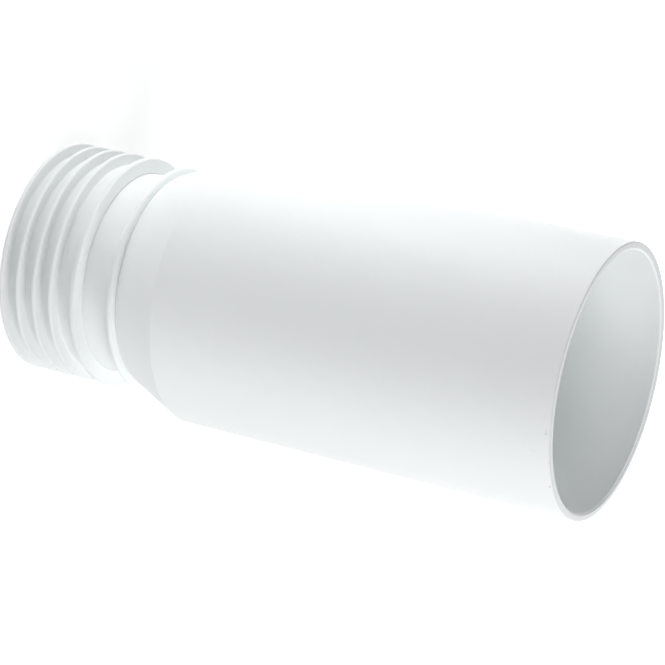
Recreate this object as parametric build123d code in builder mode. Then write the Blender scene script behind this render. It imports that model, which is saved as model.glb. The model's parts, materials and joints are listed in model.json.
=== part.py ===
from build123d import *
import math
import os

# Straight toilet pan connector: a rigid reducing tube with a soft finned seal on its spigot.
# It stands on the finned end with its open mouth up. The origin is the centre of that end and +Z is the
# tube's axis. Both pieces are turned about Z from a section in the XZ plane. Millimetres and degrees.

# Plain end, to the common soil pipe size
pipe_diameter = 110.0
pipe_wall = 3.2
pipe_length = 173.0
mouth_outer_chamfer = 0.4
mouth_inner_chamfer = 0.8

# Spigot that carries the seal, and the neck that the seal leaves bare
spigot_diameter = 83.4
spigot_wall = 3.0
neck_length = 14.2

# Cone that widens from the groove behind the bead to the plain end
groove_step = 2.7
cone_length = 22.9

# Bead between the neck and the groove: flanks with moulding draft, and a crowned back
bead_height = 2.9
bead_width = 2.9
bead_crown = 0.6
bead_draft = 5.0

# Sleeve of the finned seal, with a lip turned in over the spigot's end
sleeve_wall = 1.6
lip_thickness = 1.5

# Fins round the sleeve, and the collar that ends it against the neck
fin_count = 4
fin_height = 4.8
fin_thickness = 1.5
fin_gap = 6.35
collar_height = 4.8
collar_thickness = 2.0
collar_gap = 8.95

# Radii
pipe_r = pipe_diameter / 2
pipe_bore_r = pipe_r - pipe_wall
spigot_r = spigot_diameter / 2
spigot_bore_r = spigot_r - spigot_wall
groove_r = spigot_r + groove_step
bead_r = groove_r + bead_height
sleeve_r = spigot_r + sleeve_wall
fin_r = sleeve_r + fin_height
collar_r = sleeve_r + collar_height

# Heights, from the finned end up to the mouth
fin_pitch = fin_thickness + fin_gap
last_fin_z = (fin_count - 1) * fin_pitch + fin_thickness
collar_z = last_fin_z + collar_gap
neck_z = collar_z + collar_thickness
bead_z = neck_z + neck_length
groove_z = bead_z + bead_width
shoulder_z = groove_z + cone_length
mouth_z = shoulder_z + pipe_length

# The bead's flanks lean in towards the two edges of its crowned back
crest_r = bead_r - bead_crown
flank_slope = math.tan(math.radians(bead_draft))
crest_low_z = bead_z + (crest_r - spigot_r) * flank_slope
crest_high_z = groove_z - (crest_r - groove_r) * flank_slope

# The inside of the cone runs parallel to its outside, one pipe wall away
cone_slope = (pipe_r - groove_r) / cone_length
cone_inset = pipe_wall * math.hypot(1, cone_slope)
inner_shoulder_z = groove_z + (pipe_bore_r - groove_r + cone_inset) / cone_slope
inner_neck_z = groove_z + (spigot_bore_r - groove_r + cone_inset) / cone_slope


def fin_corners(low_z):
    """List the corners of one fin, from its lower root round its edge to its upper root.

    Args:
        low_z: height of the fin's lower face.

    Returns:
        (radius, height) of each corner.
    """
    high_z = low_z + fin_thickness
    return [(sleeve_r, low_z), (fin_r, low_z), (fin_r, high_z), (sleeve_r, high_z)]


# Rigid body: spigot, neck, bead, cone and plain end as one hollow moulding
neck_corners = [
    (spigot_bore_r, lip_thickness),
    (spigot_r, lip_thickness),
    (spigot_r, bead_z),
    (crest_r, crest_low_z),
]
plain_end_corners = [
    (crest_r, crest_high_z),
    (groove_r, groove_z),
    (pipe_r, shoulder_z),
    (pipe_r, mouth_z - mouth_outer_chamfer),
    (pipe_r - mouth_outer_chamfer, mouth_z),
]
inside_corners = [
    (pipe_bore_r + mouth_inner_chamfer, mouth_z),
    (pipe_bore_r, mouth_z - mouth_inner_chamfer),
    (pipe_bore_r, inner_shoulder_z),
    (spigot_bore_r, inner_neck_z),
    (spigot_bore_r, lip_thickness),
]

with BuildPart() as connector_body:
    with BuildSketch(Plane.XZ):
        with BuildLine():
            Polyline(*neck_corners)
            ThreePointArc(neck_corners[-1], (bead_r, (crest_low_z + crest_high_z) / 2), plain_end_corners[0])
            Polyline(*plain_end_corners, *inside_corners)
        make_face()
    revolve(axis=Axis.Z)

# Soft seal: its lip and first fin share the end face, and the collar's upper face closes the sleeve
lip_corners = [
    (spigot_r, lip_thickness),
    (spigot_bore_r, lip_thickness),
    (spigot_bore_r, 0),
]
end_fin_corners = [
    (fin_r, 0),
    (fin_r, fin_thickness),
    (sleeve_r, fin_thickness),
]
collar_corners = [
    (sleeve_r, collar_z),
    (collar_r, collar_z),
    (collar_r, neck_z),
    (spigot_r, neck_z),
]
seal_corners = lip_corners + end_fin_corners
for fin in range(1, fin_count):
    seal_corners += fin_corners(fin * fin_pitch)
seal_corners += collar_corners

with BuildPart() as fin_seal:
    with BuildSketch(Plane.XZ):
        with BuildLine():
            Polyline(*seal_corners, close=True)
        make_face()
    revolve(axis=Axis.Z)

os.makedirs("parts", exist_ok=True)
connector_body.part.label = "connector_body"
fin_seal.part.label = "fin_seal"
export_step(connector_body.part, "parts/connector_body.step")
export_step(fin_seal.part, "parts/fin_seal.step")
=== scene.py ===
"""Dress the pan connector: a white reducing tube with a soft finned seal, stood on a pale studio floor.

The pieces hold their sizes in millimetres, as the drawing of the part does. The studio's sizes are in
metres, as Blender works.
"""

import json
import logging
import math
from dataclasses import dataclass, field
from enum import Enum

import bpy
from mathutils import Matrix, Vector


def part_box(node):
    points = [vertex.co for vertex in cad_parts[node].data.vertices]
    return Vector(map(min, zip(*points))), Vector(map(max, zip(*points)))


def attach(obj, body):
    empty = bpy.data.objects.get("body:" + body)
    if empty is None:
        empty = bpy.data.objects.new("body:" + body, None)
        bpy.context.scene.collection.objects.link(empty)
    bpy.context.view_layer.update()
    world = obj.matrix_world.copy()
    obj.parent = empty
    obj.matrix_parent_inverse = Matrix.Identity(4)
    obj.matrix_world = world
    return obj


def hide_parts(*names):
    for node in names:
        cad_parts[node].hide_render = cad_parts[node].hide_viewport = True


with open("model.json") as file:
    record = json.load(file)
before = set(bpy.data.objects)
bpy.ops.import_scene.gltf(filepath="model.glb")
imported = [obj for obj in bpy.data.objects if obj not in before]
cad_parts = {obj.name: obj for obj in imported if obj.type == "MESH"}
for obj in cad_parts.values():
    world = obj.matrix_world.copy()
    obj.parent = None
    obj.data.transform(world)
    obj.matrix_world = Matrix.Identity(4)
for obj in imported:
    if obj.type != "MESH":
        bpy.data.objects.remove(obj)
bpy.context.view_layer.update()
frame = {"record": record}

LOG = logging.getLogger("pan_connector")
MM = 0.001
ONLY_BODY = "root"
SPIGOT_DIAMETER = 83.4
ROUNDING_STEPS = 6

Colour = tuple[float, float, float]
GRIMED: Colour = (0.3, 0.31, 0.32)
# Lighter colour of a thin short streak round the tube just above the shoulder.
PALE_STREAK: Colour = (0.96, 0.97, 0.97)
# Painted shade: a darker tone that stands in for shade on the mouth's end face and the tops of its
# roundings.
MOUTH_PAINTED_SHADE: Colour = (0.68, 0.701, 0.705)
WHITE: Colour = (1.0, 1.0, 1.0)

Point = tuple[float, float, float]
TUBE_MIDDLE: Point = (0.0, 0.0, 0.12)
FINS_MIDDLE: Point = (0.0, 0.0, 0.03)


class Slot(Enum):
    """Material slots of the record that the pieces take their finish from."""

    PLASTIC = "white_plastic"
    RUBBER = "white_rubber"


class Node(Enum):
    """CAD nodes that the pieces stand for."""

    BODY = "connector_body"
    SEAL = "fin_seal"


@dataclass(frozen=True)
class Corner:
    """Corner of a turned section.

    Attributes:
        radius: distance from the tube's axis, in millimetres.
        height: height above the finned end, in millimetres.
        rounding: radius of the corner's rounding, in millimetres; zero leaves it sharp.
    """

    radius: float
    height: float
    rounding: float = 0.0

    @property
    def point(self) -> Vector:
        """The corner as a flat vector of radius and height."""
        return Vector((self.radius, self.height))


def mount_radius(name: str) -> float:
    """Look up the radius of a round mount in the record.

    Args:
        name: the mount's name.

    Returns:
        The radius in millimetres.
    """
    mounts = {mount["name"]: mount for mount in frame["record"]["mounts"]}
    return mounts[name]["dims"]["r_mm"]


def node_top(node: Node) -> float:
    """Give the height of a CAD node's top, in millimetres."""
    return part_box(node.value)[1].z / MM


def node_foot(node: Node) -> float:
    """Give the height of a CAD node's foot, in millimetres."""
    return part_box(node.value)[0].z / MM


def node_reach(node: Node) -> float:
    """Give the largest radius of a CAD node, in millimetres."""
    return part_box(node.value)[1].x / MM


def opaque(colour: Colour) -> tuple[float, float, float, float]:
    """Give a colour with full opacity, as a colour socket takes it."""
    return (*colour, 1.0)


def rounded_outline(corners: list[Corner], closed: bool, steps: int) -> list[Vector]:
    """Round the corners of a section and list its points in order.

    Args:
        corners: corners of the section in order.
        closed: whether the last corner runs back to the first.
        steps: chords that each rounding is drawn with.

    Returns:
        Flat vectors of radius and height, in millimetres.
    """
    outline: list[Vector] = []
    for index, corner in enumerate(corners):
        is_end = not closed and index in (0, len(corners) - 1)
        if is_end or corner.rounding == 0.0:
            outline.append(corner.point)
            continue
        before = (corners[index - 1].point - corner.point).normalized()
        after = (corners[(index + 1) % len(corners)].point - corner.point).normalized()
        half_turn = (math.pi - before.angle(after)) / 2
        setback = corner.rounding * math.tan(half_turn)
        centre = corner.point + (before + after).normalized() * math.hypot(corner.rounding, setback)
        start = (corner.point + before * setback - centre).normalized()
        end = (corner.point + after * setback - centre).normalized()
        spokes = [start.slerp(end, step / steps) for step in range(steps + 1)]
        outline += [centre + spoke * corner.rounding for spoke in spokes]
    return outline


@dataclass
class TreeBuilder:
    """Adds and wires the nodes of one Blender node tree.

    Attributes:
        tree: the tree that is built.
    """

    tree: bpy.types.NodeTree

    def add(self, kind: str, settings: dict | None = None, **inputs: object) -> bpy.types.Node:
        """Add a node.

        Args:
            kind: Blender's name for the node type.
            settings: values of the node's own properties.
            inputs: a value or an output socket for each input, named with _ for a space.

        Returns:
            The new node.
        """
        node = self.tree.nodes.new(kind)
        for name, value in (settings or {}).items():
            setattr(node, name, value)
        for name, value in inputs.items():
            self.feed(node.inputs[name.replace("_", " ")], value)
        return node

    def feed(self, socket: bpy.types.NodeSocket, value: object) -> None:
        """Link an output socket to an input, or set the input's value.

        Args:
            socket: the input.
            value: an output socket, or a plain value.
        """
        if isinstance(value, bpy.types.NodeSocket):
            self.tree.links.new(value, socket)
        else:
            socket.default_value = value

    def math(self, operation: str, *numbers: object) -> bpy.types.NodeSocket:
        """Add a calculation with two or three numbers.

        Args:
            operation: the Math node's operation.
            numbers: a value or an output socket for each number.

        Returns:
            The result's socket.
        """
        node = self.add("ShaderNodeMath", {"operation": operation})
        for socket, number in zip(node.inputs, numbers):
            self.feed(socket, number)
        return node.outputs[0]

    def ramp(self, measured: bpy.types.NodeSocket, start: float, end: float) -> bpy.types.NodeSocket:
        """Add a smooth rise from zero to one.

        Args:
            measured: the value that is followed.
            start: value at which the rise starts.
            end: value at which it ends.

        Returns:
            The risen value's socket.
        """
        node = self.add("ShaderNodeMapRange", {"interpolation_type": "SMOOTHSTEP"}, Value=measured)
        node.inputs["From Min"].default_value = start
        node.inputs["From Max"].default_value = end
        return node.outputs["Result"]

    def length(self, vector: bpy.types.NodeSocket) -> bpy.types.NodeSocket:
        """Add the length of a vector.

        Args:
            vector: the vector's socket.

        Returns:
            The length's socket.
        """
        node = self.add("ShaderNodeVectorMath", {"operation": "LENGTH"})
        self.feed(node.inputs[0], vector)
        return node.outputs["Value"]

    def blend(self, share: bpy.types.NodeSocket, first: object, second: object) -> bpy.types.NodeSocket:
        """Add a blend of two colours.

        Args:
            share: share of the second colour.
            first: first colour, or its socket.
            second: second colour, or its socket.

        Returns:
            The blended colour's socket.
        """
        node = self.add("ShaderNodeMix", {"data_type": "RGBA"})
        sockets = {socket.identifier: socket for socket in (*node.inputs, *node.outputs)}
        self.feed(sockets["Factor_Float"], share)
        for name, colour in (("A_Color", first), ("B_Color", second)):
            self.feed(sockets[name], opaque(colour) if isinstance(colour, tuple) else colour)
        return sockets["Result_Color"]


@dataclass
class TurningTree:
    """Geometry Nodes tree that turns a drawn section about the tube's axis.

    The section is drawn flat, with its radius along X and its height along -Y, and swept round a circle.

    Attributes:
        name: name of the tree.
        segments: chords round the circle.
        weld: distance under which the points of neighbouring bands are joined, in metres.
        builder: builder of the tree.
        entry: the tree's input node.
    """

    name: str
    segments: int = 224
    weld: float = 2e-6
    builder: TreeBuilder = field(init=False)
    entry: bpy.types.Node = field(init=False)

    def __post_init__(self) -> None:
        """Start the tree with the inputs that every turned piece has."""
        self.builder = TreeBuilder(bpy.data.node_groups.new(self.name, "GeometryNodeTree"))
        interface = self.builder.tree.interface
        interface.new_socket("Section", in_out="INPUT", socket_type="NodeSocketGeometry")
        interface.new_socket("Material", in_out="INPUT", socket_type="NodeSocketMaterial")
        interface.new_socket("Path Radius", in_out="INPUT", socket_type="NodeSocketFloat")
        interface.new_socket("Segments", in_out="INPUT", socket_type="NodeSocketInt")
        interface.new_socket("Piece", in_out="OUTPUT", socket_type="NodeSocketGeometry")
        self.entry = self.builder.add("NodeGroupInput")

    def add_size(self, name: str, whole: bool = False) -> None:
        """Add a named input for a size, or for a count where it is whole."""
        kind = "NodeSocketInt" if whole else "NodeSocketFloat"
        self.builder.tree.interface.new_socket(name, in_out="INPUT", socket_type=kind)

    def drawn_section(self) -> bpy.types.NodeSocket:
        """Add the node that reads the drawn section, and give its curve."""
        return self.builder.add("GeometryNodeMeshToCurve", Mesh=self.entry.outputs["Section"]).outputs[0]

    def turn(self, profile: bpy.types.NodeSocket) -> None:
        """Sweep the profile round the axis, weld its bands and give it its material.

        Args:
            profile: curves of the section.
        """
        add = self.builder.add
        entry = self.entry.outputs
        circle = add(
            "GeometryNodeCurvePrimitiveCircle",
            Resolution=entry["Segments"],
            Radius=entry["Path Radius"],
        )
        upright = add("GeometryNodeSetCurveNormal", {"mode": "Z_UP"}, Curve=circle.outputs["Curve"])
        swept = add("GeometryNodeCurveToMesh", Curve=upright.outputs[0], Profile_Curve=profile)
        outward = add("GeometryNodeFlipFaces", Mesh=swept.outputs[0])
        welded = add("GeometryNodeMergeByDistance", Geometry=outward.outputs[0], Distance=self.weld)
        smooth = add("GeometryNodeSetShadeSmooth", Geometry=welded.outputs[0])
        real = add("GeometryNodeRealizeInstances", Geometry=smooth.outputs[0])
        dressed = add("GeometryNodeSetMaterial", Geometry=real.outputs[0], Material=entry["Material"])
        add("NodeGroupOutput", Piece=dressed.outputs[0])

    def piece(self, name: str, outline: list[Vector], closed: bool, path_radius: float,
              material: bpy.types.Material, sizes: dict[str, float]) -> bpy.types.Object:
        """Run the tree on a drawn section and keep the result as a plain mesh.

        Args:
            name: name of the new piece.
            outline: points of the section, in millimetres.
            closed: whether the outline runs back to its start.
            path_radius: radius of the circle that the section is swept round, in millimetres.
            material: material of the piece.
            sizes: value of each named input, in metres or as a count.

        Returns:
            The piece, at the origin.
        """
        points = [((point.x - path_radius) * MM, -point.y * MM, 0.0) for point in outline]
        edges = [(index, index + 1) for index in range(len(points) - 1)]
        if closed:
            edges.append((len(points) - 1, 0))
        drawing = bpy.data.meshes.new(f"{name}_section")
        drawing.from_pydata(points, edges, [])
        piece = bpy.data.objects.new(name, drawing)
        bpy.context.scene.collection.objects.link(piece)
        modifier = piece.modifiers.new("turning", "NODES")
        modifier.node_group = self.builder.tree
        values = {
            "Material": material,
            "Path Radius": path_radius * MM,
            "Segments": self.segments,
            **sizes,
        }
        for socket in self.builder.tree.interface.items_tree:
            if socket.name in values:
                modifier[socket.identifier] = values[socket.name]
        piece.modifiers.new("face_weighted_normals", "WEIGHTED_NORMAL")
        evaluated = piece.evaluated_get(bpy.context.evaluated_depsgraph_get())
        mesh = bpy.data.meshes.new_from_object(evaluated)
        mesh.name = name
        piece.modifiers.clear()
        piece.data = mesh
        bpy.data.meshes.remove(drawing)
        return piece


@dataclass(frozen=True)
class Tone:
    """Colour that a finish turns to with height; the tube uses it to paint shade on the mouth's end.

    Attributes:
        start: height where the finish's own colour ends, in millimetres.
        end: height where the tone is full, in millimetres.
        colour: linear colour of the tone.
    """

    start: float
    end: float
    colour: Colour

    def amount(self, shader: TreeBuilder, place: bpy.types.NodeSocket) -> bpy.types.NodeSocket:
        """Add the nodes that tell how far the tone has set in.

        Args:
            shader: builder of the material's tree.
            place: the surface's place in the object.

        Returns:
            From zero, for the finish's own colour, to one.
        """
        height = shader.add("ShaderNodeSeparateXYZ", Vector=place).outputs["Z"]
        return shader.ramp(height, self.start * MM, self.end * MM)


@dataclass(frozen=True)
class Mark:
    """Small soft mark on a surface.

    Attributes:
        angle: its direction round the axis, from +X towards +Y, in degrees.
        radius: distance of its middle from the axis, in millimetres.
        height: height of its middle, in millimetres.
        reach: half its size outwards, round the axis and along it, in millimetres.
        strength: share of the mark's colour at its middle.
        colour: linear colour of the mark.
    """

    angle: float
    radius: float
    height: float
    reach: tuple[float, float, float]
    strength: float
    colour: Colour = GRIMED

    def amount(self, shader: TreeBuilder, place: bpy.types.NodeSocket) -> bpy.types.NodeSocket:
        """Add the nodes that fade the mark out from its middle.

        Args:
            shader: builder of the material's tree.
            place: the surface's place in the object.

        Returns:
            The mark's share of the colour.
        """
        turn = math.radians(self.angle)
        middle = (self.radius * math.cos(turn) * MM, self.radius * math.sin(turn) * MM, self.height * MM)
        within = shader.add(
            "ShaderNodeMapping",
            {"vector_type": "TEXTURE"},
            Vector=place,
            Location=middle,
            Rotation=(0.0, 0.0, turn),
            Scale=tuple(size * MM for size in self.reach),
        )
        away = shader.length(within.outputs[0])
        return shader.math("MULTIPLY", shader.ramp(away, 1.0, 0.0), self.strength)


@dataclass(frozen=True)
class Pattern:
    """Random pattern over a surface.

    Attributes:
        size: size of its patches, in millimetres.
        layers: number of finer patterns over the first.
        layer_share: strength of each finer pattern, as a share of the one before it.
    """

    size: float
    layers: float
    layer_share: float

    def amount(self, shader: TreeBuilder, place: bpy.types.NodeSocket) -> bpy.types.NodeSocket:
        """Add the node that draws the pattern.

        Args:
            shader: builder of the material's tree.
            place: the surface's place in the object.

        Returns:
            The pattern's value, from zero to one.
        """
        noise = shader.add(
            "ShaderNodeTexNoise",
            Vector=place,
            Scale=1 / (self.size * MM),
            Detail=self.layers,
            Roughness=self.layer_share,
        )
        return noise.outputs["Fac"]


@dataclass(frozen=True)
class MouldedFinish:
    """Finish of a moulded polymer: a base colour with faint clouding, a mould grain and an uneven sheen.

    Attributes:
        slot: the record's slot that it fills.
        colour: linear base colour.
        clouding: how much darker the clouded patches are, as a share.
        clouds: pattern of the clouded patches.
        roughness: roughness of the shinier patches.
        roughness_spread: how much rougher the duller patches are.
        grain: pattern of the mould grain.
        grain_depth: depth of the mould grain, in millimetres.
        specular: specular level of the shader.
        accents: tones and marks over the base colour, among them painted shade at the mouth.
    """

    slot: Slot
    colour: Colour
    clouding: float
    clouds: Pattern
    roughness: float
    roughness_spread: float
    grain: Pattern
    grain_depth: float
    specular: float
    accents: tuple[Tone | Mark, ...] = ()

    def material(self) -> bpy.types.Material:
        """Build the finish as a node material.

        Returns:
            The material, named for its slot.
        """
        material = bpy.data.materials.new(self.slot.value)
        material.use_nodes = True
        shader = TreeBuilder(material.node_tree)
        principled = material.node_tree.nodes["Principled BSDF"]
        principled.inputs["Specular IOR Level"].default_value = self.specular
        place = shader.add("ShaderNodeTexCoord").outputs["Object"]
        clouds = self.clouds.amount(shader, place)
        cloudy = tuple(channel * (1 - self.clouding) for channel in self.colour)
        colour = shader.blend(clouds, cloudy, self.colour)
        for accent in self.accents:
            colour = shader.blend(accent.amount(shader, place), colour, accent.colour)
        shader.feed(principled.inputs["Base Color"], colour)
        sheen = shader.math("MULTIPLY_ADD", clouds, self.roughness_spread, self.roughness)
        shader.feed(principled.inputs["Roughness"], sheen)
        grain = self.grain.amount(shader, place)
        relief = shader.add("ShaderNodeBump", Height=grain, Distance=self.grain_depth * MM, Strength=1.0)
        shader.feed(principled.inputs["Normal"], relief.outputs["Normal"])
        return material


PIPE_R = mount_radius("plain_end")
WHITE_PLASTIC = MouldedFinish(
    slot=Slot.PLASTIC,
    colour=(0.905, 0.931, 0.932),
    clouding=0.02,
    clouds=Pattern(size=30.0, layers=4.0, layer_share=0.55),
    roughness=0.4,
    roughness_spread=0.1,
    grain=Pattern(size=0.7, layers=2.0, layer_share=0.5),
    grain_depth=0.004,
    specular=0.1,
    accents=(
        # Painted shade: darkens the mouth's end face and the upper parts of its outer rounding and inner
        # chamfer.
        Tone(start=248.4, end=248.95, colour=MOUTH_PAINTED_SHADE),
        Mark(angle=294.9, radius=PIPE_R, height=247.3, reach=(1.0, 2.0, 1.0), strength=0.14),
        Mark(angle=295.9, radius=PIPE_R, height=247.1, reach=(1.0, 0.6, 0.6), strength=0.35),
        Mark(angle=304.5, radius=PIPE_R, height=242.4, reach=(1.0, 0.5, 0.5), strength=0.2),
        Mark(angle=308.4, radius=PIPE_R, height=248.6, reach=(1.0, 0.6, 0.5), strength=0.3),
        Mark(angle=321.6, radius=PIPE_R, height=247.7, reach=(1.0, 0.7, 0.6), strength=0.75),
        # A thin lighter streak round the tube just above the shoulder.
        Mark(angle=264.9, radius=PIPE_R, height=83.0, reach=(1.0, 2.6, 0.3), strength=0.6,
             colour=PALE_STREAK),
    ),
)
WHITE_RUBBER = MouldedFinish(
    slot=Slot.RUBBER,
    colour=(0.885, 0.907, 0.909),
    clouding=0.03,
    clouds=Pattern(size=12.0, layers=4.0, layer_share=0.55),
    roughness=0.55,
    roughness_spread=0.12,
    grain=Pattern(size=0.4, layers=2.0, layer_share=0.5),
    grain_depth=0.006,
    specular=0.1,
    accents=(
        Mark(angle=343.7, radius=46.0, height=25.05, reach=(2.2, 0.25, 0.5), strength=0.4),
    ),
)


@dataclass
class Tube:
    """Rigid moulding: the spigot, neck, bead, cone and plain end in one.

    Attributes:
        finish: finish of the moulding.
        spigot_diameter: outside of the spigot and its neck.
        neck_length: length of the bare neck above the seal.
        groove_step: how far the foot of the cone stands out from the neck.
        cone_length: length of the cone.
        bead_height: height of the bead above the foot of the cone.
        bead_width: width of the bead's foot.
        bead_draft: lean of the bead's flanks, in degrees.
        bead_rounding: rounding of the bead's back.
        neck_rounding: rounding between the neck and the bead.
        groove_depth: depth of the fine groove between the bead and the cone.
        groove_width: width of that groove along the tube.
        groove_rounding: rounding of the groove's edge on the cone.
        shoulder_rounding: rounding between the cone and the plain end.
        mouth_rounding: rounding of the mouth's outer edge.
        mouth_chamfer: chamfer of the mouth's inner edge.
        edge_rounding: rounding of the edges that are left nearly sharp.
        rounding_steps: chords that each rounding is drawn with.
    """

    finish: MouldedFinish
    spigot_diameter: float = SPIGOT_DIAMETER
    neck_length: float = 14.2
    groove_step: float = 2.7
    cone_length: float = 22.9
    bead_height: float = 2.9
    bead_width: float = 2.9
    bead_draft: float = 5.0
    bead_rounding: float = 1.1
    neck_rounding: float = 2.2
    groove_depth: float = 0.4
    groove_width: float = 0.6
    groove_rounding: float = 0.4
    shoulder_rounding: float = 0.5
    mouth_rounding: float = 0.5
    mouth_chamfer: float = 0.8
    edge_rounding: float = 0.15
    rounding_steps: int = ROUNDING_STEPS

    def section(self) -> list[Corner]:
        """Work out the closed section.

        Returns:
            Its corners, from the spigot's end up the outside and down the bore.
        """
        pipe_r = mount_radius("plain_end")
        pipe_bore_r = mount_radius("mouth_bore")
        spigot_r = self.spigot_diameter / 2
        spigot_bore_r = mount_radius("spigot_bore")
        groove_r = spigot_r + self.groove_step
        bead_r = groove_r + self.bead_height
        foot_z = node_foot(Node.BODY)
        mouth_z = node_top(Node.BODY)
        bead_z = node_top(Node.SEAL) + self.neck_length
        groove_z = bead_z + self.bead_width
        shoulder_z = groove_z + self.cone_length
        lean = math.tan(math.radians(self.bead_draft))
        slope = (pipe_r - groove_r) / self.cone_length
        inset = (pipe_r - pipe_bore_r) * math.hypot(1, slope)
        inner_shoulder_z = groove_z + (pipe_bore_r - groove_r + inset) / slope
        inner_neck_z = groove_z + (spigot_bore_r - groove_r + inset) / slope
        cone_foot_r = groove_r + slope * self.groove_width
        return [
            Corner(spigot_bore_r, foot_z, self.edge_rounding),
            Corner(spigot_r, foot_z, self.edge_rounding),
            Corner(spigot_r, bead_z, self.neck_rounding),
            Corner(bead_r, bead_z + (bead_r - spigot_r) * lean, self.bead_rounding),
            Corner(bead_r, groove_z - self.bead_height * lean, self.bead_rounding),
            Corner(groove_r - self.groove_depth, groove_z, self.edge_rounding),
            Corner(cone_foot_r, groove_z + self.groove_width, self.groove_rounding),
            Corner(pipe_r, shoulder_z, self.shoulder_rounding),
            Corner(pipe_r, mouth_z, self.mouth_rounding),
            Corner(pipe_bore_r + self.mouth_chamfer, mouth_z, self.edge_rounding),
            Corner(pipe_bore_r, mouth_z - self.mouth_chamfer, self.edge_rounding),
            Corner(pipe_bore_r, inner_shoulder_z, self.shoulder_rounding),
            Corner(spigot_bore_r, inner_neck_z, self.neck_rounding),
        ]

    def build(self) -> bpy.types.Object:
        """Turn the tube, dress it and set it on its body.

        Returns:
            The tube.
        """
        tree = TurningTree("turned_tube")
        tree.turn(tree.drawn_section())
        outline = rounded_outline(self.section(), closed=True, steps=self.rounding_steps)
        tube = tree.piece(
            "tube",
            outline,
            closed=True,
            path_radius=mount_radius("mouth_bore"),
            material=self.finish.material(),
            sizes={},
        )
        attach(tube, ONLY_BODY)
        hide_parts(Node.BODY.value)
        return tube


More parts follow.
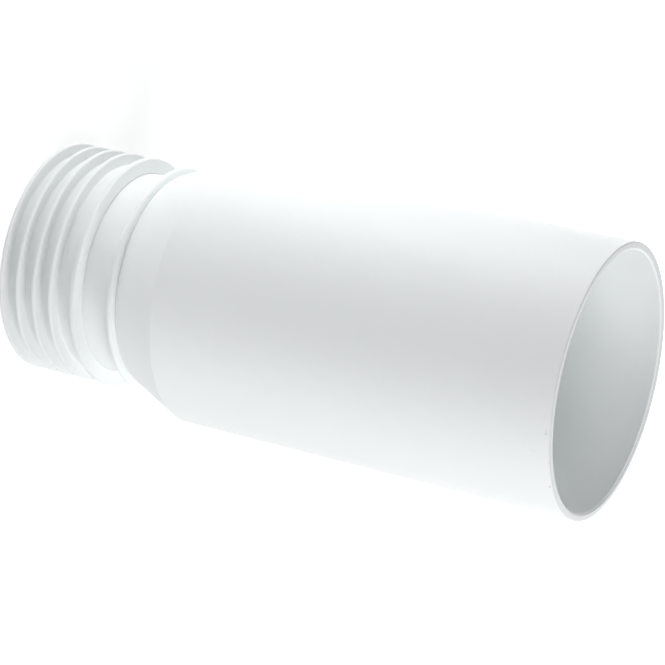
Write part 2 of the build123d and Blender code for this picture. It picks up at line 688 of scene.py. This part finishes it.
@dataclass
class FinnedSeal:
    """Soft seal on the spigot: a sleeve with fins, a collar, and a lip turned in over the spigot's end.

    Attributes:
        finish: finish of the seal.
        spigot_diameter: bore of the sleeve.
        sleeve_wall: wall of the sleeve between the fins.
        fin_count: number of fins, with the one at the end face.
        fin_thickness: thickness of a fin.
        fin_gap: gap between two fins.
        collar_thickness: thickness of the collar.
        tip_rounding: rounding of the fins' upper outer edges.
        edge_rounding: rounding of their lower outer edges and of the lip.
        root_rounding: rounding at the fins' roots.
        seam_rounding: rounding of the collar's inner edge, where it meets the neck.
        rounding_steps: chords that each rounding is drawn with.
    """

    finish: MouldedFinish
    spigot_diameter: float = SPIGOT_DIAMETER
    sleeve_wall: float = 1.6
    fin_count: int = 4
    fin_thickness: float = 1.5
    fin_gap: float = 6.35
    collar_thickness: float = 2.0
    tip_rounding: float = 0.8
    edge_rounding: float = 0.25
    root_rounding: float = 0.5
    seam_rounding: float = 0.5
    rounding_steps: int = ROUNDING_STEPS

    @property
    def sleeve_r(self) -> float:
        """Outer radius of the sleeve."""
        return self.spigot_diameter / 2 + self.sleeve_wall

    @property
    def pitch(self) -> float:
        """Distance from one fin to the next."""
        return self.fin_thickness + self.fin_gap

    def ends_section(self) -> list[Corner]:
        """Work out the section apart from the repeated fins.

        Returns:
            Its corners, from above the last fin round the collar, sleeve, lip and end fin to the gap
            above that.
        """
        spigot_r = self.spigot_diameter / 2
        bore_r = mount_radius("spigot_bore")
        fin_r = mount_radius("finned_spigot")
        collar_r = node_reach(Node.SEAL)
        top_z = node_top(Node.SEAL)
        lip_z = node_foot(Node.BODY)
        half_gap = self.fin_gap / 2
        return [
            Corner(self.sleeve_r, self.fin_count * self.pitch - half_gap),
            Corner(self.sleeve_r, top_z - self.collar_thickness, self.root_rounding),
            Corner(collar_r, top_z - self.collar_thickness, self.edge_rounding),
            Corner(collar_r, top_z, self.tip_rounding),
            Corner(spigot_r, top_z, self.seam_rounding),
            Corner(spigot_r, lip_z),
            Corner(bore_r, lip_z, self.edge_rounding),
            Corner(bore_r, 0.0, self.edge_rounding),
            Corner(fin_r, 0.0, self.edge_rounding),
            Corner(fin_r, self.fin_thickness, self.tip_rounding),
            Corner(self.sleeve_r, self.fin_thickness, self.root_rounding),
            Corner(self.sleeve_r, self.pitch - half_gap),
        ]

    def fin_curve(self, tree: TurningTree) -> bpy.types.NodeSocket:
        """Add the nodes that draw one fin, from the middle of the gap below it to that of the gap above.

        Args:
            tree: the seal's tree, with its named sizes.

        Returns:
            The curve of one fin, with its lower face at height zero.
        """
        builder = tree.builder
        size = tree.entry.outputs
        corner = builder.add("GeometryNodeInputIndex").outputs[0]
        half_gap = builder.math("MULTIPLY", size["Fin Gap"], 0.5)
        above = builder.math("ADD", size["Fin Thickness"], half_gap)
        below = builder.math("MULTIPLY", half_gap, -1.0)
        sleeve, tip = size["Sleeve Radius"], size["Fin Radius"]
        thickness, root = size["Fin Thickness"], size["Root Rounding"]
        low_edge, high_edge = size["Edge Rounding"], size["Tip Rounding"]

        def by_corner(values: list[object]) -> bpy.types.NodeSocket:
            """Pick a value by the corner's number.

            Args:
                values: a value or socket for each corner.

            Returns:
                The picked value's socket.
            """
            switch = builder.add("GeometryNodeIndexSwitch", {"data_type": "FLOAT"}, Index=corner)
            while len(switch.index_switch_items) < len(values):
                switch.index_switch_items.new()
            for number, value in enumerate(values):
                builder.feed(switch.inputs[str(number)], value)
            return switch.outputs[0]

        radii = [sleeve, sleeve, tip, tip, sleeve, sleeve]
        heights = [below, 0.0, 0.0, thickness, thickness, above]
        roundings = [0.0, root, low_edge, high_edge, root, 0.0]
        place = builder.add(
            "ShaderNodeCombineXYZ",
            X=builder.math("SUBTRACT", by_corner(radii), size["Path Radius"]),
            Y=builder.math("MULTIPLY", by_corner(heights), -1.0),
        ).outputs[0]
        chain = builder.add("GeometryNodeMeshLine", Count=len(radii)).outputs[0]
        moved = builder.add("GeometryNodeSetPosition", Geometry=chain, Position=place).outputs[0]
        drawn = builder.add("GeometryNodeMeshToCurve", Mesh=moved).outputs[0]
        rounded = builder.add(
            "GeometryNodeFilletCurve",
            {"mode": "POLY"},
            Curve=drawn,
            Count=size["Rounding Steps"],
            Radius=by_corner(roundings),
        )
        return rounded.outputs[0]

    def repeated_fins(self, tree: TurningTree) -> bpy.types.NodeSocket:
        """Add the nodes that repeat the fin up the sleeve.

        Args:
            tree: the seal's tree, with its named sizes.

        Returns:
            The curves of all the fins but the one at the end face.
        """
        builder = tree.builder
        size = tree.entry.outputs
        pitch = builder.math("ADD", size["Fin Thickness"], size["Fin Gap"])
        step = builder.add("ShaderNodeCombineXYZ", Y=builder.math("MULTIPLY", pitch, -1.0)).outputs[0]
        count = size["Repeated Fins"]
        row = builder.add("GeometryNodeMeshLine", Count=count, Start_Location=step, Offset=step)
        fin = self.fin_curve(tree)
        fins = builder.add("GeometryNodeInstanceOnPoints", Points=row.outputs[0], Instance=fin)
        return builder.add("GeometryNodeRealizeInstances", Geometry=fins.outputs[0]).outputs[0]

    def build(self) -> bpy.types.Object:
        """Turn the seal, dress it and set it on its body.

        Returns:
            The seal.
        """
        tree = TurningTree("finned_seal")
        sizes = {
            "Sleeve Radius": self.sleeve_r * MM,
            "Fin Radius": mount_radius("finned_spigot") * MM,
            "Fin Thickness": self.fin_thickness * MM,
            "Fin Gap": self.fin_gap * MM,
            "Tip Rounding": self.tip_rounding * MM,
            "Edge Rounding": self.edge_rounding * MM,
            "Root Rounding": self.root_rounding * MM,
        }
        counts = {"Repeated Fins": self.fin_count - 1, "Rounding Steps": self.rounding_steps}
        for name in sizes:
            tree.add_size(name)
        for name in counts:
            tree.add_size(name, whole=True)
        ends = tree.drawn_section()
        fins = self.repeated_fins(tree)
        joined = tree.builder.add("GeometryNodeJoinGeometry")
        tree.builder.feed(joined.inputs[0], ends)
        tree.builder.feed(joined.inputs[0], fins)
        tree.turn(joined.outputs[0])
        outline = rounded_outline(self.ends_section(), closed=False, steps=self.rounding_steps)
        seal = tree.piece(
            "finned_seal",
            outline,
            closed=False,
            path_radius=self.sleeve_r,
            material=self.finish.material(),
            sizes=sizes | counts,
        )
        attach(seal, ONLY_BODY)
        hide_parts(Node.SEAL.value)
        return seal


@dataclass(frozen=True)
class SoftBox:
    """Soft studio lamp that faces the object.

    Attributes:
        name: name of the lamp.
        azimuth: direction of the lamp round the object, from +X towards +Y, in degrees.
        elevation: direction of the lamp above the horizon, in degrees.
        width: width of the lamp, in metres.
        height: height of the lamp, in metres.
        power: power in watts.
        distance: distance from its target, in metres.
        target: point that it faces, in metres.
    """

    name: str
    azimuth: float
    elevation: float
    width: float
    height: float
    power: float
    distance: float = 1.6
    target: Point = TUBE_MIDDLE

    def build(self) -> bpy.types.Object:
        """Hang the lamp.

        Returns:
            The lamp.
        """
        light = bpy.data.lights.new(self.name, "AREA")
        light.shape = "RECTANGLE"
        light.size = self.width
        light.size_y = self.height
        light.energy = self.power
        lamp = bpy.data.objects.new(self.name, light)
        bpy.context.scene.collection.objects.link(lamp)
        azimuth, elevation = math.radians(self.azimuth), math.radians(self.elevation)
        across = math.cos(elevation)
        away = Vector((across * math.cos(azimuth), across * math.sin(azimuth), math.sin(elevation)))
        place = Matrix.Translation(Vector(self.target) + away * self.distance)
        lamp.matrix_world = place @ (-away).to_track_quat("-Z", "Y").to_matrix().to_4x4()
        lamp.visible_camera = False
        return lamp


@dataclass(frozen=True)
class PhotoCamera:
    """Camera at the photograph's viewing angle, rolled so that the tube lies across the picture.

    Attributes:
        place: the camera's place, in metres.
        aim: point at the middle of the picture, in metres.
        roll: turn about the line of sight, in degrees.
        lens: focal length, in millimetres.
        sensor: width of the picture at the sensor, in millimetres.
    """

    place: Point = (0.0, -1.0479, 0.6247)
    aim: Point = (0.0057, 0.0, 0.1297)
    roll: float = 103.2
    lens: float = 156.31
    sensor: float = 36.0

    def build(self) -> bpy.types.Object:
        """Set up the camera and make it the scene's own.

        Returns:
            The camera.
        """
        data = bpy.data.cameras.new("photo_camera")
        data.lens = self.lens
        data.sensor_width = self.sensor
        data.sensor_fit = "HORIZONTAL"
        camera = bpy.data.objects.new("photo_camera", data)
        bpy.context.scene.collection.objects.link(camera)
        sight = Vector(self.aim) - Vector(self.place)
        level = sight.to_track_quat("-Z", "Y").to_matrix()
        rolled = level @ Matrix.Rotation(math.radians(self.roll), 3, "Z")
        camera.matrix_world = Matrix.Translation(self.place) @ rolled.to_4x4()
        bpy.context.scene.camera = camera
        return camera


@dataclass(frozen=True)
class Studio:
    """Plain pale floor, white surroundings, soft lamps on four sides and the camera.

    Attributes:
        floor_half: half the floor's side, in metres.
        floor_colour: linear colour of the floor.
        floor_lift: white that the floor adds near the object where it is seen, so that it reads white.
        floor_fade: distances from the object's foot between which that white grows to full, in metres.
        ambient: strength of the surroundings' light on the object.
        ambient_colour: linear colour of that light.
        lamps: the soft lamps.
        camera: the camera.
    """

    floor_half: float = 4.0
    floor_colour: Colour = (0.88, 0.88, 0.88)
    floor_lift: float = 0.34
    floor_fade: tuple[float, float] = (0.3, 1.0)
    ambient: float = 0.03
    ambient_colour: Colour = (0.98, 0.99, 1.0)
    lamps: tuple[SoftBox, ...] = (
        SoftBox("right_box", azimuth=2.0, elevation=40.0, width=0.6, height=1.1, power=9.0),
        SoftBox("front_right_box", azimuth=330.0, elevation=48.0, width=0.6, height=0.6, power=6.5),
        SoftBox("front_box", azimuth=297.0, elevation=29.0, width=0.8, height=0.8, power=6.1),
        SoftBox("back_box", azimuth=72.0, elevation=25.0, width=0.7, height=0.7, power=8.0),
        SoftBox("low_back_box", azimuth=98.0, elevation=5.0, width=0.7, height=0.5, power=5.0),
        SoftBox("left_box", azimuth=185.0, elevation=53.0, width=1.1, height=0.6, power=7.4),
        SoftBox("low_left_strip", azimuth=190.0, elevation=2.3, width=0.3, height=0.08, power=0.96,
                distance=0.5, target=FINS_MIDDLE),
        SoftBox("near_left_strip", azimuth=192.0, elevation=0.0, width=0.15, height=0.05, power=0.13,
                distance=0.3, target=FINS_MIDDLE),
    )
    camera: PhotoCamera = PhotoCamera()

    def seen_directly(self, shader: TreeBuilder) -> bpy.types.NodeSocket:
        """Add the nodes that tell where a surface is seen, and not only lights another.

        Args:
            shader: builder of the material's or the world's tree.

        Returns:
            One for a ray from the camera or through gloss or glass, and zero for one that gathers light.
        """
        path = shader.add("ShaderNodeLightPath").outputs
        seen = shader.math("MAXIMUM", path["Is Camera Ray"], path["Is Glossy Ray"])
        return shader.math("MAXIMUM", seen, path["Is Transmission Ray"])

    def floor_material(self) -> bpy.types.Material:
        """Make the floor's material, which keeps the object's shadow and reads white elsewhere.

        Returns:
            The material.
        """
        material = bpy.data.materials.new("studio_floor")
        material.use_nodes = True
        shader = TreeBuilder(material.node_tree)
        principled = material.node_tree.nodes["Principled BSDF"]
        principled.inputs["Base Color"].default_value = opaque(self.floor_colour)
        principled.inputs["Roughness"].default_value = 1.0
        principled.inputs["Specular IOR Level"].default_value = 0.0
        principled.inputs["Emission Color"].default_value = opaque(WHITE)
        away = shader.length(shader.add("ShaderNodeTexCoord").outputs["Object"])
        growth = shader.ramp(away, *self.floor_fade)
        lift = shader.math("MULTIPLY_ADD", growth, 1.0 - self.floor_lift, self.floor_lift)
        glow = shader.math("MULTIPLY", self.seen_directly(shader), lift)
        shader.feed(principled.inputs["Emission Strength"], glow)
        return material

    def build_floor(self) -> bpy.types.Object:
        """Lay the floor.

        Returns:
            The floor.
        """
        half = self.floor_half
        corners = [(-half, -half, 0), (half, -half, 0), (half, half, 0), (-half, half, 0)]
        mesh = bpy.data.meshes.new("studio_floor")
        mesh.from_pydata(corners, [], [(0, 1, 2, 3)])
        mesh.materials.append(self.floor_material())
        floor = bpy.data.objects.new("studio_floor", mesh)
        bpy.context.scene.collection.objects.link(floor)
        return floor

    def build_surroundings(self) -> None:
        """Make the world: white where it is seen, and a plain soft light on the object."""
        world = bpy.data.worlds.new("studio_surroundings")
        bpy.context.scene.world = world
        world.use_nodes = True
        shader = TreeBuilder(world.node_tree)
        background = world.node_tree.nodes["Background"]
        background.inputs["Color"].default_value = opaque(self.ambient_colour)
        seen = self.seen_directly(shader)
        strength = shader.math("MULTIPLY_ADD", seen, 1.0 - self.ambient, self.ambient)
        shader.feed(background.inputs["Strength"], strength)

    def build(self) -> None:
        """Set up the floor, the surroundings, the lamps and the camera."""
        self.build_floor()
        self.build_surroundings()
        for lamp in self.lamps:
            lamp.build()
        self.camera.build()
        bpy.context.scene.view_settings.view_transform = "Standard"


def main() -> None:
    """Build the pieces and the studio in order, and report each piece."""
    logging.basicConfig(level=logging.INFO)
    for piece in (Tube(WHITE_PLASTIC).build(), FinnedSeal(WHITE_RUBBER).build()):
        LOG.info("%s: %d faces", piece.name, len(piece.data.polygons))
    Studio().build()


if __name__ == "__main__":
    main()
